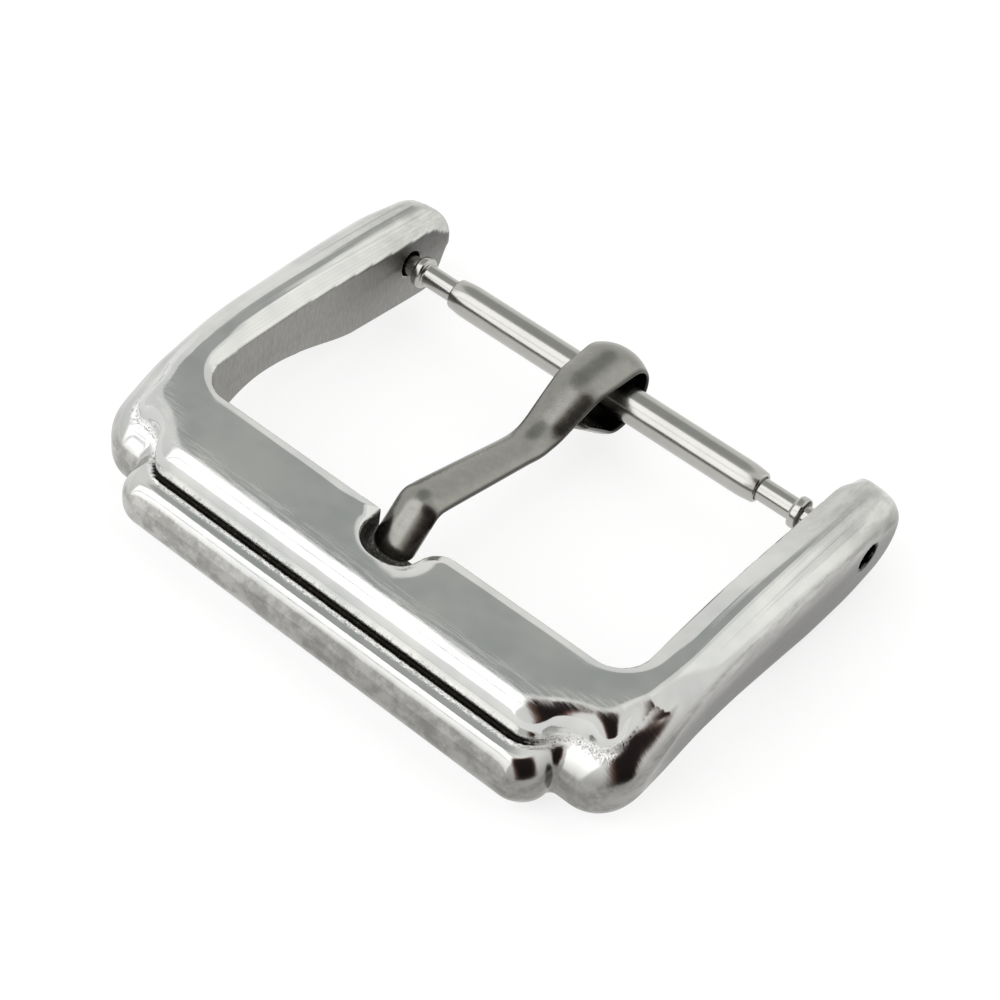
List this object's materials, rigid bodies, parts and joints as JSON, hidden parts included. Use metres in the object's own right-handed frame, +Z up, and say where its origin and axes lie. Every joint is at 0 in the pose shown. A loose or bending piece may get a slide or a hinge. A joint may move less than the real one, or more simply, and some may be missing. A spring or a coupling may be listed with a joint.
{
  "type": "tang buckle",
  "caption": "Tang buckle for a narrow strap: stepped rounded frame, curled tongue in a scooped rest, and a sprung bar whose pivots sit in drilled lugs.",
  "frame": {"origin": "middle of the buckle's outline, on the surface it rests on", "axes": "+X along the spring bar, from lug to lug; -Y to the front bar; +Z up, out of the decorated face"},
  "size_m": [0.0224, 0.0178, 0.004],
  "materials": {
    "polished_steel": "mirror polished stainless steel with an unpolished cast groove",
    "satin_steel": "tumbled, half-matt stainless steel",
    "bar_steel": "turned and polished stainless steel",
    "spring_wire": "drawn spring wire"
  },
  "bodies": {
    "frame": {"frame": "polished_steel"},
    "bar": {"spring_bar_barrel": "bar_steel", "spring_bar_spring": "spring_wire"},
    "left_plunger": {"spring_bar_left_plunger": "bar_steel"},
    "right_plunger": {"spring_bar_right_plunger": "bar_steel"},
    "tongue": {"tongue": "satin_steel"}
  },
  "joints": [
    {"name": "bar_spin", "type": "hinge", "parent": "frame", "child": "bar", "pos_m": [0, 0.0064, 0.00195], "axis": [1, 0, 0], "continuous": true},
    {"name": "left_plunger_travel", "type": "slide", "parent": "bar", "child": "left_plunger", "axis": [1, 0, 0], "range_m": [0, 0.00132], "stiffness_N_per_m": 400, "springref_m": -0.001, "deforming": ["spring_bar_spring"]},
    {"name": "right_plunger_travel", "type": "slide", "parent": "bar", "child": "right_plunger", "axis": [-1, 0, 0], "range_m": [0, 0.00132], "stiffness_N_per_m": 400, "springref_m": -0.001, "deforming": ["spring_bar_spring"]},
    {"name": "tongue_swing", "type": "hinge", "parent": "frame", "child": "tongue", "pos_m": [0, 0.0064, 0.00195], "axis": [-1, 0, 0], "range_deg": [0, 343]}
  ]
}
